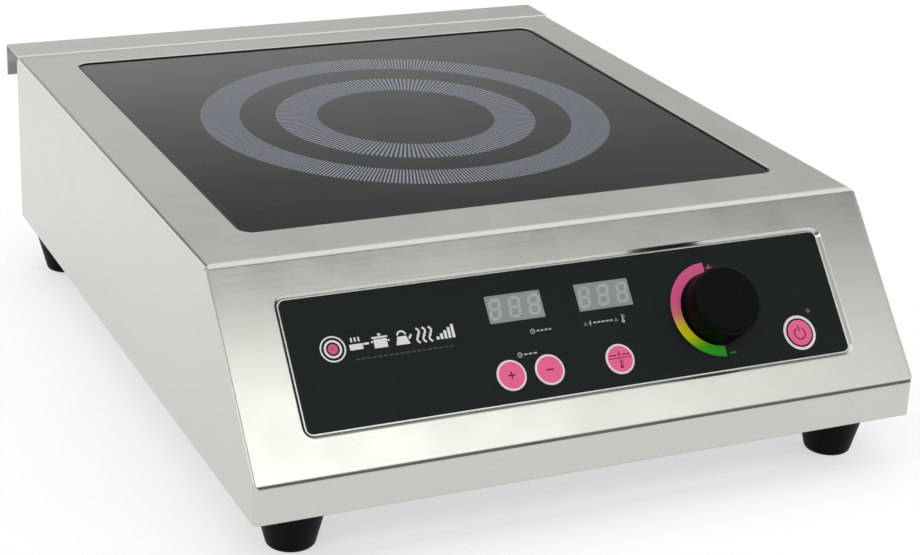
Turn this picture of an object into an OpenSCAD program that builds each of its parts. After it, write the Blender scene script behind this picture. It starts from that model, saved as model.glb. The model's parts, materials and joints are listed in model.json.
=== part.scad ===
// Countertop induction hob with one cooking zone, a sloping control front and four feet.
// Millimetres. X runs to the right seen from the front, Y to the back, Z up.
// The origin is under the middle of the hob, on the surface it stands on.

/* [Casing] */
// Width across the front
body_w = 327; // [320:1:345]
// Depth of the casing, without the rear spacer
body_d = 394; // [390:1:405]
// Height of the casing above its feet
body_h = 92; // [90:0.5:100]
// Height of the feet
foot_h = 25; // [18:1:30]
// Height of the upright apron below the control slope
apron_h = 17.4; // [15:0.1:20]
// Depth that the control slope takes up
slope_run = 64.5; // [60:0.5:68]
// Thickness of the folded sheet
sheet = 0.8; // [0.6:0.1:1.0]
// Inner radius of the spacer's bends
bend_r = 1.2; // [0.8:0.1:2]
// Inner radius of the casing's side edges
edge_r = 1.9; // [1.2:0.1:2.4]
// Inner radius of the bends above and below the control slope
slope_bend_r = 3.7; // [2:0.1:4.5]
// Depth of the spacer behind the casing
spacer_d = 28; // [20:1:35]
// Height of the spacer's flanges
spacer_h = 18; // [14:1:24]

/* [Cooking zone] */
// Width of the glass plate
glass_w = 272.8; // [268:0.2:276]
// Depth of the glass plate
glass_d = 275.6; // [270:0.2:280]
// Thickness of the glass plate
glass_t = 4; // [4:0.5:6]
// Width of the sealed gap round the glass
seal_gap = 1.2; // [0.8:0.1:2]
// Number of turns in the coil
coil_turns = 16; // [12:1:16]
// Distance from one turn to the next
coil_pitch = 4.7; // [4.5:0.1:4.8]

/* [Controls] */
// Width of the control film
film_w = 270; // [260:0.2:272]
// Height of the control film along the slope
film_h = 59.8; // [58:0.2:62]
// Depth of the pressed recess that the film lies in
recess_depth = 1.6; // [1.2:0.1:2]
// Radius of the knob
knob_r = 16.8; // [15:0.1:19]
// Height of the knob above the slope
knob_h = 13.6; // [10:0.1:15]
// Radius of the round keys, without the power key
key_r = 7.1; // [6:0.1:8]
// Travel of a key
key_travel = 0.4; // [0.2:0.1:0.4]

/* [Cooling] */
// Side of the square fans
fan_w = 92; // [80:1:92]
// Height of the fans
fan_h = 25.4; // [25:0.1:26]
// Number of blades on each fan
blades = 7; // [5:1:8]

/* [Hidden] */
$fn = 48;

// Small overlap for cuts
e = 1;

// Casing
total_d = body_d + spacer_d;
front_y = -total_d / 2;
rear_y = front_y + body_d;
top_z = foot_h + body_h;
apron_z = foot_h + apron_h;
slope_top_y = front_y + slope_run;
slope_a = atan((top_z - apron_z) / slope_run);
slope_l = norm([slope_run, top_z - apron_z]);
inner_w = body_w - 2 * sheet;
base_t = 1.2;
base_z = foot_h + base_t;
lip = 12;
lip_x = inner_w / 2 - lip / 2;
panel_t = 1;
panel_y = rear_y - panel_t;
panel_top = top_z - sheet - 0.2;
seam = 0.3;
seam_depth = 0.4;
relief_r = 1.1;
play = 0.2;
ledge_edge = 0.4;

// Rear spacer
spacer_w = 325.2;
spacer_rise = 0.6;
spacer_z = top_z + spacer_rise;
rivet_x = [-120, -40, 40, 120];
rivet_z = spacer_z - 10;
rivet_r = 1.6;

// Feet and screws
foot_xy = [[137.5, front_y + 26.5], [144.5, rear_y - 23]];
foot_top_r = 17.2;
foot_low_r = 10.8;
foot_edge_r = 2;
foot_bore_r = 2.6;
foot_sink_r = 5.5;
foot_sink = 8;
foot_screw_r = 2.5;
foot_nut_h = 4;
small_screw_r = 1.5;
side_screw_y = [-150, -50, 60, 125];
front_screw_x = [-60, 60];
front_screw_y = front_y + sheet + lip / 2;
rear_screw_z = [45, 85];

// Cable inlet
gland_x = 110;
gland_z = 60;
gland_r = 10;
gland_bore_r = 5;
gland_in = 12;
gland_out = 20;
gland_flange = 5;

// Glass and its pressed ledge
glass_x = 1.8;
glass_y = 24.5;
glass_drop = 0.8;
seal_drop = 0.3;
seal_clear = 0.4;
glass_corner_r = 5.8;
glass_top = top_z - glass_drop;
glass_low = glass_top - glass_t;
hole_w = glass_w + 2 * seal_gap;
hole_d = glass_d + 2 * seal_gap;
hole_corner_r = glass_corner_r + seal_gap;
ledge = 9;
ledge_z = glass_low - 0.8;

// Coil stack, from the glass down
mica_t = 0.7;
mica_r = 110;
litz_r = 2.1;
coil_z = glass_low - mica_t - litz_r;
coil_in_r = 24;
coil_end_r = coil_in_r + coil_turns * coil_pitch;
former_t = 3.5;
former_r = 106;
former_low = coil_z - litz_r - former_t;
ferrite_t = 5;
ferrite_w = 14;
ferrite_in = 34;
ferrite_out = 92;
ferrites = 8;
plate_t = 1.5;
plate_top = former_low - ferrite_t;
plate_low = plate_top - plate_t;
post_ring = 128;
post_r = 5;
post_top = plate_low - 14;
spigot_r = 2.5;
spring_r = 4.4;
spring_wire_r = 0.6;
spring_turns = 4;
lead_bend = 6;
lead_hole_r = 3.4;
inner_lead_x = 92;
inner_lead_z = 88;

// Power board
board_t = 1.6;
board_z = base_z + 10;
board_top = board_z + board_t;
board_x = 112;
board_y = [-30, 140];
standoff_xy = [[-106, -24], [106, -24], [-106, 134], [52, 134], [-50, 134], [50, -24]];
standoff_r = 3.5;
sink_w = 90;
sink_y = [-5, 95];
sink_low = board_top + 5.7;
sink_base = 5;
sink_h = 34;
fins = 13;
fin_t = 1.6;
device_t = 4.9;

// Fans
fan_x = 64;
fan_y = -100;
fan_bore_r = fan_w / 2 - 1.7;
fan_hole = fan_w / 2 - 5;
fan_hole_r = 2.15;
hub_r = 17.5;
rotor_low = 3.6;
rotor_top = 22.5;
fan_shaft_r = 1.5;
fan_play = 0.05;
blade_pitch = 50;

// Control slope, in its own frame: X to the right, Y up the slope, Z out of it
film_low = 19.6;
film_t = 0.5;
film_z = -recess_depth;
film_top = film_z + film_t;
film_mid = film_low + film_h / 2;
film_corner_r = 3;
recess_rim = 0.8;
recess_low = -recess_depth - sheet;
key_y = 31.9;
plus_x = -37.1;
minus_x = -18.4;
mode_x = 16.8;
power_xy = [111.4, 31.5];
power_r = 6.6;
key_gap = 0.15;
key_t = 0.5;
key_proud = 0.15;
key_edge = 0.25;
key_stem_r = 2;
key_slack = 0.5;
light_xy = [119.3, 41.4];
light_r = 1.1;
display_x = [-27.2, 17.2];
display_y = 62.7;
display_w = 27.4;
display_h = 13;
knob_xy = [71.7, 48.6];
knob_crown = 1;
knob_edge_r = 2.2;
knob_wall = 2.4;
knob_boss_r = 5.4;
pcb_top = -12;
pcb_x = [-52, 127];
pcb_y = [18, 77];
switch_w = 6.2;
switch_h = 3.6;
plunger_top = -7.8;
plunger_r = 1.7;
bushing_r = 4.5;
bushing_top = 1.6;
shaft_r = 3;
shaft_play = 0.05;
shaft_top = 8.2;
nut_t = 2.2;

// Colours
steel = [0.76, 0.75, 0.72];
dark_glass = [0.13, 0.14, 0.14];
black = [0.07, 0.08, 0.08];
board_green = [0.1, 0.35, 0.2];
copper = [0.72, 0.42, 0.2];
pink = [0.86, 0.4, 0.58];
zinc = [0.7, 0.7, 0.7];

function unit(v) = v / norm(v);

// Centre of the arc of radius r that rounds the corner p between the points a and b
function arc_centre(a, p, b, r) =
    let (u = unit(a - p), w = unit(b - p)) p + unit(u + w) * r / sin(acos(u * w) / 2);

// Where that arc starts and ends; a radius of 0 leaves the corner sharp
function arc_ends(a, p, b, r) = r == 0 ? [p]
    : let (u = unit(a - p), w = unit(b - p), l = r / tan(acos(u * w) / 2)) [p + u * l, p + w * l];

// Convex outline whose corners are rounded by true arcs, each with its own radius.
// It is made in two parts, the flats and the arcs, which in_parts() joins as solids.
module outline(points, radii) {
    n = len(points);
    if ($arcs) {
        for (i = [0 : n - 1]) if (radii[i] > 0)
            translate(arc_centre(points[(i + n - 1) % n], points[i], points[(i + 1) % n], radii[i]))
                circle(radii[i]);
    } else {
        polygon([for (i = [0 : n - 1])
            each arc_ends(points[(i + n - 1) % n], points[i], points[(i + 1) % n], radii[i])]);
    }
}

module in_parts() {
    for ($arcs = [false, true]) children();
}

// Corners of the casing seen from the side, moved inwards by t
function side_corners(t) = [
    [front_y + t, foot_h],
    [front_y + t, apron_z - t * cos(slope_a) + t * (1 - sin(slope_a)) * tan(slope_a)],
    [slope_top_y + t * sin(slope_a) - t * (1 - cos(slope_a)) / tan(slope_a), top_z - t],
    [rear_y, top_z - t],
    [rear_y, foot_h]];

// Prism along X of a shape drawn in Y and Z
module along_x(w) rotate([90, 0, 90]) linear_extrude(w, center = true) children();

// Prism along Y of a shape drawn in X and Z
module along_y(y0, y1) translate([0, y1, 0]) rotate([90, 0, 0]) linear_extrude(y1 - y0) children();

// Places its children on the control slope
module on_slope() translate([0, front_y, apron_z]) rotate([slope_a, 0, 0]) children();

module over_zone() translate([glass_x, glass_y, 0]) children();

module rounded_plate(w, d, h, r) {
    linear_extrude(h) {
        square([w - 2 * r, d], center = true);
        square([w, d - 2 * r], center = true);
        for (x = [-1, 1], y = [-1, 1]) translate([x * (w / 2 - r), y * (d / 2 - r)]) circle(r);
    }
}

// Rounded plate whose outline widens by h over its height h
module flared_plate(w, d, h, r) {
    along_x(w - 2 * r) polygon([[-d / 2, 0], [d / 2, 0], [d / 2 + h, h], [-d / 2 - h, h]]);
    along_y(r - d / 2, d / 2 - r) polygon([[-w / 2, 0], [w / 2, 0], [w / 2 + h, h], [-w / 2 - h, h]]);
    for (x = [-1, 1], y = [-1, 1]) translate([x * (w / 2 - r), y * (d / 2 - r), 0])
        cylinder(r1 = r, r2 = r + h, h = h);
}

module ring(r_out, r_in, h) {
    difference() {
        cylinder(r = r_out, h = h);
        translate([0, 0, -e]) cylinder(r = r_in, h = h + 2 * e);
    }
}

module box(x0, x1, y0, y1, z0, z1) translate([x0, y0, z0]) cube([x1 - x0, y1 - y0, z1 - z0]);

// Solid form of the casing, moved inwards by t and run past its open ends by cut
module casing_form(t, cut) {
    c = side_corners(t);
    r = edge_r + sheet - t;
    bend = slope_bend_r + sheet - t;
    low = foot_h - cut;
    back = rear_y + cut;
    front = front_y + t;
    half = body_w / 2 - t;
    intersection() {
        in_parts() along_x(body_w)
            outline([[front, low], c[1], c[2], [back, c[3][1]], [back, low]], [0, bend, bend, 0, 0]);
        in_parts() along_y(front_y - e, back + e)
            outline([[-half, low - e], [-half, top_z - t], [half, top_z - t], [half, low - e]], [0, r, r, 0]);
        in_parts() translate([0, 0, low - e]) linear_extrude(top_z - low + 2 * e)
            outline([[-half, back + e], [-half, front], [half, front], [half, back + e]], [0, r, r, 0]);
    }
}

module foot_places() for (s = [-1, 1], p = foot_xy) translate([s * p[0], p[1], 0]) children();

module side_screw_places() {
    for (x = [-1, 1], y = side_screw_y) translate([x * lip_x, y, 0]) children();
    for (x = front_screw_x) translate([x, front_screw_y, 0]) children();
}

module rear_screw_places() {
    for (x = [-1, 1], z = rear_screw_z)
        translate([x * lip_x, rear_y, z]) rotate([-90, 0, 0]) children();
}

module rivet_places() for (x = rivet_x) translate([x, rear_y, rivet_z]) rotate([-90, 0, 0]) children();

module post_places() over_zone()
    for (a = [0 : 90 : 270]) rotate(a) translate([post_ring, 0, 0]) children();

// Holes that the keys, displays, encoder and light need in the slope
module slope_holes(gap) {
    for (x = [plus_x, minus_x, mode_x])
        translate([x, key_y, -5]) cylinder(r = key_r + key_gap + gap, h = 10);
    translate([power_xy[0], power_xy[1], -5]) cylinder(r = power_r + key_gap + gap, h = 10);
    translate([light_xy[0], light_xy[1], -5]) cylinder(r = light_r + 0.1 + gap, h = 10);
    translate([knob_xy[0], knob_xy[1], -5]) cylinder(r = bushing_r + 0.2, h = 10);
    for (x = display_x)
        translate([x, display_y, -5]) rounded_plate(display_w + 2 * gap, display_h + 2 * gap, 10, 0.6);
}

// Casing

module seam_grooves() {
    for (x = [-1, 1]) {
        translate([x * (body_w / 2 - sheet), 0, 0]) {
            on_slope() translate([-seam / 2, edge_r, -seam_depth]) cube([seam, slope_l - edge_r, e]);
        }
        on_slope() translate([x * body_w / 2, slope_l - seam_depth, -2]) cylinder(r = relief_r, h = 4);
    }
}

module shell_lips() {
    for (x = [-1, 1]) {
        translate([x * lip_x, 0, 0]) {
            box(-lip / 2 - 0.1, lip / 2 + 0.1, front_y + sheet / 2, rear_y - panel_t, base_z, base_z + sheet);
            box(-lip / 2 - 0.1, lip / 2 + 0.1, panel_y - sheet, panel_y, base_z, top_z - sheet / 2);
        }
    }
    box(-inner_w / 2, inner_w / 2, front_y + sheet / 2, front_y + sheet + lip,
        base_z, base_z + sheet);
}

module top_shell() {
    under_rim = recess_rim + sheet * tan(22.5);
    color(steel) difference() {
        union() {
            difference() {
                casing_form(0, 0);
                casing_form(sheet, e);
            }
            intersection() {
                shell_lips();
                casing_form(sheet / 2, 0);
            }
            over_zone() translate([0, 0, ledge_z - sheet])
                rounded_plate(hole_w + 2 * sheet, hole_d + 2 * sheet, top_z - sheet / 2 - ledge_z + sheet,
                    hole_corner_r + sheet);
            on_slope() translate([0, film_mid, recess_low])
                flared_plate(film_w + 2 * under_rim, film_h + 2 * under_rim, -sheet / 2 - recess_low,
                    film_corner_r + under_rim);
        }
        over_zone() {
            translate([0, 0, ledge_z]) rounded_plate(hole_w, hole_d, 10, hole_corner_r);
            translate([0, 0, ledge_z - 5]) rounded_plate(hole_w - 2 * ledge, hole_d - 2 * ledge, 10, 4);
            translate([0, 0, top_z - ledge_edge])
                flared_plate(hole_w, hole_d, ledge_edge + 0.01, hole_corner_r);
        }
        on_slope() {
            translate([0, film_mid, film_z]) flared_plate(film_w + 2 * recess_rim,
                film_h + 2 * recess_rim, recess_depth + 0.01, film_corner_r + recess_rim);
            slope_holes(0.4);
        }
        seam_grooves();
        side_screw_places() translate([0, 0, foot_h]) cylinder(r = small_screw_r, h = 5);
        rear_screw_places() translate([0, 0, -5]) cylinder(r = small_screw_r, h = 6);
    }
}

// U-shaped channel, open downwards, with its top a little above the casing
module rear_spacer() {
    back = rear_y + spacer_d;
    low = spacer_z - spacer_h;
    r = bend_r + sheet;
    color(steel) difference() {
        in_parts() along_x(spacer_w)
            outline([[rear_y, low], [rear_y, spacer_z], [back, spacer_z], [back, low]], [0, r, r, 0]);
        in_parts() along_x(spacer_w + 2 * e)
            outline([[rear_y + sheet, low - e], [rear_y + sheet, spacer_z - sheet],
                [back - sheet, spacer_z - sheet], [back - sheet, low - e]], [0, bend_r, bend_r, 0]);
        rivet_places() translate([0, 0, -e]) cylinder(r = rivet_r, h = 4);
    }
}

// One air slot with round ends
module slot(l, w, h) {
    cube([l - w, w, h], center = true);
    for (x = [-1, 1]) translate([x * (l - w) / 2, 0, 0]) cylinder(r = w / 2, h = h, center = true);
}

module fan_grille() {
    r = fan_bore_r - 4;
    for (i = [-5 : 5]) translate([0, i * 7, base_z]) slot(2 * sqrt(r * r - 49 * i * i), 3.4, 6);
}

module base_plate() {
    color(zinc) difference() {
        intersection() {
            box(-body_w / 2, body_w / 2, front_y, rear_y, foot_h, base_z);
            casing_form(sheet + play, e);
        }
        for (x = [-fan_x, fan_x]) translate([x, fan_y, 0]) fan_grille();
        foot_places() translate([0, 0, foot_h - e]) cylinder(r = foot_bore_r, h = 5);
        side_screw_places() translate([0, 0, foot_h - e]) cylinder(r = small_screw_r, h = 5);
        fan_screw_places() translate([0, 0, -2]) cylinder(r = fan_hole_r, h = 5);
    }
}

module rear_panel() {
    rows = [40 : 8 : 88];
    color(zinc) difference() {
        box(-inner_w / 2 + play, inner_w / 2 - play, panel_y, rear_y, base_z, panel_top);
        for (x = [-122, -78, -34, 10, 54], z = rows)
            translate([x, rear_y, z]) rotate([90, 0, 0]) slot(34, 3.4, 6);
        translate([gland_x, rear_y, gland_z]) rotate([90, 0, 0])
            cylinder(r = gland_r + 0.1, h = 6, center = true);
        rear_screw_places() translate([0, 0, -5]) cylinder(r = small_screw_r, h = 6);
        rivet_places() translate([0, 0, -5]) cylinder(r = rivet_r, h = 6);
    }
}

module feet() {
    color(black) foot_places() difference() {
        in_parts() rotate_extrude()
            outline([[0, 0], [foot_low_r, 0], [foot_top_r, foot_h], [0, foot_h]], [0, foot_edge_r, 0, 0]);
        translate([0, 0, -e]) cylinder(r = foot_sink_r, h = foot_sink + e);
        cylinder(r = foot_bore_r, h = foot_h + e);
    }
}

module foot_screws() {
    color(zinc) foot_places() {
        translate([0, 0, foot_sink - 3]) cylinder(r = 4.4, h = 3);
        translate([0, 0, foot_sink - e]) cylinder(r = foot_screw_r, h = base_z + 6 - foot_sink + e);
    }
}

module foot_nuts() {
    color(zinc) foot_places() translate([0, 0, base_z]) difference() {
        cylinder(r = 4.6, h = foot_nut_h, $fn = 6);
        translate([0, 0, -e]) cylinder(r = foot_screw_r, h = foot_nut_h + 2 * e);
    }
}

// Pan-head screw with its head below zero
module small_screw(l) {
    translate([0, 0, -1.6]) cylinder(r = 3, h = 1.6);
    translate([0, 0, -e]) cylinder(r = small_screw_r, h = l + e);
}

module case_screws() {
    color(zinc) side_screw_places() translate([0, 0, foot_h]) small_screw(6);
}

module rear_screws() {
    color(zinc) rear_screw_places() rotate([180, 0, 0]) small_screw(5);
}

module spacer_rivets() {
    color(zinc) rivet_places() {
        translate([0, 0, sheet]) cylinder(r = 3, h = 1.2);
        translate([0, 0, -panel_t]) cylinder(r = rivet_r, h = panel_t + sheet + 0.5);
        translate([0, 0, -panel_t - 1.5]) cylinder(r = 2.4, h = 1.5);
    }
}

module cable_gland() {
    color(black) translate([gland_x, rear_y, gland_z]) rotate([-90, 0, 0]) difference() {
        union() {
            translate([0, 0, -gland_in]) cylinder(r = gland_r, h = gland_in + e);
            cylinder(r = gland_r + 3, h = gland_flange, $fn = 6);
            translate([0, 0, gland_flange - e]) cylinder(r = gland_r + 1, h = gland_out - gland_flange + e);
        }
        translate([0, 0, -gland_in - e]) cylinder(r = gland_bore_r, h = gland_in + gland_out + 2 * e);
    }
}

module gland_nut() {
    color(black) translate([gland_x, panel_y, gland_z]) rotate([90, 0, 0]) difference() {
        cylinder(r = gland_r + 4, h = 5, $fn = 6);
        translate([0, 0, -e]) cylinder(r = gland_r, h = 5 + 2 * e);
    }
}

// Cooking zone

module glass_plate() {
    color(dark_glass) over_zone() translate([0, 0, glass_low])
        rounded_plate(glass_w, glass_d, glass_t, glass_corner_r);
}

module glass_seal() {
    color(black) over_zone() difference() {
        translate([0, 0, ledge_z])
            rounded_plate(hole_w, hole_d, top_z - seal_drop - ledge_z, hole_corner_r);
        translate([0, 0, glass_low]) rounded_plate(glass_w, glass_d, 10, glass_corner_r);
        translate([0, 0, glass_top - seal_drop])
            rounded_plate(glass_w + 2 * seal_clear, glass_d + 2 * seal_clear, 10,
                glass_corner_r + seal_clear);
        translate([0, 0, ledge_z - e]) rounded_plate(hole_w - 2 * ledge, hole_d - 2 * ledge, 10, 4);
    }
}

module mica_sheet() {
    color([0.8, 0.75, 0.62]) over_zone() translate([0, 0, glass_low - mica_t]) ring(mica_r, 6, mica_t);
}

// Flat spiral: half turns about two centres, each half turn meeting the next end to end
module coil_winding() {
    color(copper) over_zone() translate([0, 0, coil_z]) {
        for (i = [0 : coil_turns - 1]) {
            r = coil_in_r + i * coil_pitch;
            rotate_extrude(angle = 180) translate([r, 0]) circle(litz_r, $fn = 24);
            translate([coil_pitch / 2, 0, 0]) rotate(180) rotate_extrude(angle = 180)
                translate([r + coil_pitch / 2, 0]) circle(litz_r, $fn = 24);
        }
    }
}

// Clear holes for the two ends of the winding
module lead_holes(z0, z1) {
    translate([coil_in_r, -lead_bend, z0]) cylinder(r = lead_hole_r, h = z1 - z0);
    translate([coil_end_r, lead_bend, z0]) cylinder(r = lead_hole_r, h = z1 - z0);
    translate([coil_in_r - lead_hole_r, -lead_bend, z0]) cube([2 * lead_hole_r, lead_bend, z1 - z0]);
    translate([coil_end_r - lead_hole_r, 0, z0]) cube([2 * lead_hole_r, lead_bend, z1 - z0]);
}

module coil_former() {
    color([0.85, 0.82, 0.74]) over_zone() difference() {
        translate([0, 0, former_low]) cylinder(r = former_r, h = former_t, $fn = 96);
        translate([0, 0, former_low - e]) cylinder(r = 9, h = former_t + 2 * e);
        lead_holes(former_low - e, former_low + former_t + e);
        for (i = [0 : ferrites - 1]) rotate(i * 360 / ferrites) translate([72, 0, former_low])
            slot(34, 10, 3 * former_t);
    }
}

module ferrite_bars() {
    color([0.2, 0.2, 0.21]) over_zone() for (i = [0 : ferrites - 1])
        rotate((i + 0.5) * 360 / ferrites)
            box(ferrite_in, ferrite_out, -ferrite_w / 2, ferrite_w / 2, plate_top, former_low);
}

module coil_plate() {
    color([0.8, 0.81, 0.82]) over_zone() difference() {
        translate([0, 0, plate_low]) {
            cylinder(r = former_r, h = plate_t, $fn = 96);
            for (a = [0, 90]) rotate(a) rounded_plate(2 * post_ring + 16, 24, plate_t, 6);
        }
        for (a = [0 : 90 : 270]) rotate(a) translate([post_ring, 0, plate_low - e])
            cylinder(r = spigot_r + 0.2, h = plate_t + 2 * e);
        lead_holes(plate_low - e, plate_top + e);
    }
}

// Ring of points round the wire of a spring at turn angle a
function wire_ring(a, r, wire, rise, sides) =
    [for (k = [0 : sides - 1]) let (t = 360 * k / sides, q = r + wire * cos(t))
        [q * cos(a), q * sin(a), rise * a / 360 + wire * sin(t)]];

module helix(r, wire, rise, turns) {
    sides = 6;
    steps = 10 * turns;
    rings = [for (i = [0 : steps]) wire_ring(i * 360 * turns / steps, r, wire, rise, sides)];
    points = [for (g = rings) for (p = g) p];
    walls = [for (i = [0 : steps - 1], k = [0 : sides - 1]) let (a = i * sides, n = (k + 1) % sides)
        [a + k, a + sides + k, a + sides + n, a + n]];
    ends = [[for (k = [0 : sides - 1]) k], [for (k = [sides - 1 : -1 : 0]) steps * sides + k]];
    polyhedron(points, concat(walls, ends), convexity = 10);
}

module coil_springs() {
    rise = (plate_low - post_top - 2 * spring_wire_r) / spring_turns;
    color(zinc) post_places() translate([0, 0, post_top + spring_wire_r])
        helix(spring_r - spring_wire_r, spring_wire_r, rise, spring_turns);
}

module coil_posts() {
    color(zinc) post_places() {
        translate([0, 0, base_z]) cylinder(r = post_r, h = post_top - base_z);
        translate([0, 0, post_top - e]) cylinder(r = spigot_r, h = plate_top + 2 - post_top + e);
    }
}

module glass_sensor() {
    color([0.75, 0.2, 0.15]) over_zone() {
        translate([0, 0, plate_top]) cylinder(r = 8.4, h = former_low + 2 - plate_top);
        translate([0, 0, former_low]) cylinder(r = 5.5, h = glass_low - former_low);
    }
}

// Quarter bend of round wire: starts at the origin along Y and ends pointing down
module wire_bend(r, wire) {
    translate([0, 0, -r]) rotate([90, 0, 90]) rotate_extrude(angle = 90)
        translate([r, 0]) circle(wire, $fn = 24);
}

module ring_terminal() {
    translate([0, 0, board_top]) cylinder(r = 5, h = 1.2);
}

module coil_leads() {
    drop = inner_lead_z + lead_bend;
    run = inner_lead_x - glass_x - coil_in_r - 2 * lead_bend;
    color([0.8, 0.8, 0.76]) over_zone() {
        translate([coil_end_r, 0, coil_z]) wire_bend(lead_bend, litz_r);
        translate([coil_end_r, lead_bend, board_top])
            cylinder(r = litz_r, h = coil_z - lead_bend - board_top);
        translate([coil_end_r, lead_bend, 0]) ring_terminal();
        translate([coil_in_r, 0, coil_z]) rotate(180) wire_bend(lead_bend, litz_r);
        translate([coil_in_r, -lead_bend, drop]) cylinder(r = litz_r, h = coil_z - lead_bend - drop);
        translate([coil_in_r + lead_bend, -lead_bend, drop]) {
            rotate([90, 0, 0]) rotate(180) rotate_extrude(angle = 90)
                translate([lead_bend, 0]) circle(litz_r, $fn = 24);
            translate([0, 0, -lead_bend]) rotate([0, 90, 0]) cylinder(r = litz_r, h = run);
            translate([run, 0, -lead_bend]) rotate(-90) wire_bend(lead_bend, litz_r);
        }
        translate([inner_lead_x - glass_x, -lead_bend, 0]) {
            translate([0, 0, board_top]) cylinder(r = litz_r, h = inner_lead_z - lead_bend - board_top);
            ring_terminal();
        }
    }
}

// Electronics

module power_board() {
    color(board_green) difference() {
        box(-board_x, board_x, board_y[0], board_y[1], board_z, board_top);
        for (p = standoff_xy) translate([p[0], p[1], board_z - e]) cylinder(r = 1.6, h = 5);
    }
}

module board_standoffs() {
    color([0.85, 0.75, 0.4]) for (p = standoff_xy) translate([p[0], p[1], 0]) {
        translate([0, 0, base_z]) cylinder(r = standoff_r, h = board_z - base_z);
        translate([0, 0, board_z - e]) cylinder(r = small_screw_r, h = board_t + 2 + e);
    }
}

module heatsink() {
    half = sink_w / 2;
    gap = (sink_w - fin_t) / (fins - 1);
    color([0.78, 0.79, 0.8]) {
        box(-half, half, sink_y[0], sink_y[1], sink_low, sink_low + sink_base);
        for (i = [0 : fins - 1])
            translate([i * gap - half, 0, 0])
                box(0, fin_t, sink_y[0], sink_y[1], sink_low + 1, sink_low + sink_h);
        for (x = [-half, half - 3]) box(x, x + 3, sink_y[0], sink_y[1], board_top, sink_low + 1);
    }
}

// Flat power device under the heatsink with its legs in the board
module device(w, d, legs, pitch) {
    low = sink_low - device_t;
    box(-w / 2, w / 2, -d / 2, d / 2, low, sink_low);
    for (i = [0 : legs - 1]) translate([(i - (legs - 1) / 2) * pitch, -d / 2, 0]) {
        box(-0.6, 0.6, -3, 0.5, low + 1.4, low + 2);
        box(-0.6, 0.6, -3, -2.4, board_top, low + 2);
    }
}

module power_transistors() {
    color([0.15, 0.15, 0.16]) for (x = [-22, 22]) translate([x, 25, 0]) device(15.9, 20.9, 3, 5.4);
}

module bridge_rectifier() {
    color([0.15, 0.15, 0.16]) translate([0, 70, 0]) device(30, 20, 4, 7.5);
}

module resonant_capacitors() {
    color([0.85, 0.83, 0.2]) for (y = [2, 32]) translate([-80, y, board_top]) rounded_plate(42, 22, 36, 1.5);
}

module filter_capacitors() {
    color([0.2, 0.3, 0.6]) for (y = [64, 86]) translate([-80, y, board_top]) rounded_plate(32, 14, 25, 1.5);
}

module filter_inductor() {
    color([0.6, 0.35, 0.15]) translate([70, 56, board_top]) {
        cylinder(r = 14, h = 3);
        translate([0, 0, 2]) cylinder(r = 11, h = 18);
        translate([0, 0, 19]) cylinder(r = 14, h = 3);
    }
}

module supply_transformer() {
    color([0.85, 0.75, 0.2]) translate([78, 90, board_top]) {
        rounded_plate(26, 20, 20, 1);
        translate([0, 0, 4]) rounded_plate(20, 26, 12, 3);
    }
}

module fuse() {
    color([0.75, 0.8, 0.8]) translate([-80, 112, board_top + 5]) {
        rotate([0, 90, 0]) cylinder(r = 3.2, h = 30, center = true);
        for (x = [-12, 12]) box(x - 2, x + 2, -3.6, 3.6, -5, -1);
    }
}

module terminal_block() {
    color([0.2, 0.45, 0.25]) translate([88, 128, board_top]) difference() {
        box(-20, 20, -7, 7, 0, 15);
        for (x = [-13, 0, 13]) {
            translate([x, 0, 6]) cylinder(r = 3, h = 20);
            box(x - 3.5, x + 3.5, 0.5, 10, 2, 8);
        }
    }
}

module control_cable() {
    start = [front_y + 24 * cos(slope_a) - (pcb_top - board_t) * sin(slope_a),
        apron_z + 24 * sin(slope_a) + (pcb_top - board_t) * cos(slope_a)];
    run_z = board_top + 5;
    stop = board_y[0] + 3;
    color([0.75, 0.75, 0.78]) translate([-12, 0, 0]) {
        along_x(8) polygon([start, start + [0.76, 0.65], [start[0] + 8, run_z + 1], [stop, run_z + 1],
            [stop, run_z], [start[0] + 7.5, run_z]]);
        box(-6, 6, stop, stop + 7, board_top, run_z + 2);
    }
}

// Fans

module fan_screw_places() {
    for (s = [-1, 1], x = [-1, 1], y = [-1, 1])
        translate([s * fan_x + x * fan_hole, fan_y + y * fan_hole, foot_h]) children();
}

module fan_screws() color(zinc) fan_screw_places() small_screw(8);

module fan_frame() {
    color(black) translate([0, fan_y, base_z]) {
        difference() {
            rounded_plate(fan_w, fan_w, fan_h, 5);
            translate([0, 0, -e]) cylinder(r = fan_bore_r, h = fan_h + 2 * e);
            for (x = [-1, 1], y = [-1, 1]) translate([x * fan_hole, y * fan_hole, -e])
                cylinder(r = fan_hole_r, h = fan_h + 2 * e);
        }
        difference() {
            union() {
                for (a = [45 : 90 : 315]) rotate(a) box(0, fan_bore_r + 1, -2, 2, 0, 2.6);
                cylinder(r = hub_r - 0.5, h = 3);
                cylinder(r = 11, h = 15);
                cylinder(r = 4, h = 19);
            }
            translate([0, 0, -e]) cylinder(r = fan_shaft_r + fan_play, h = 30);
        }
    }
}

module fan_shaft() {
    color([0.8, 0.8, 0.82]) translate([0, fan_y, base_z + 1])
        cylinder(r = fan_shaft_r, h = rotor_top - 1);
}

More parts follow.
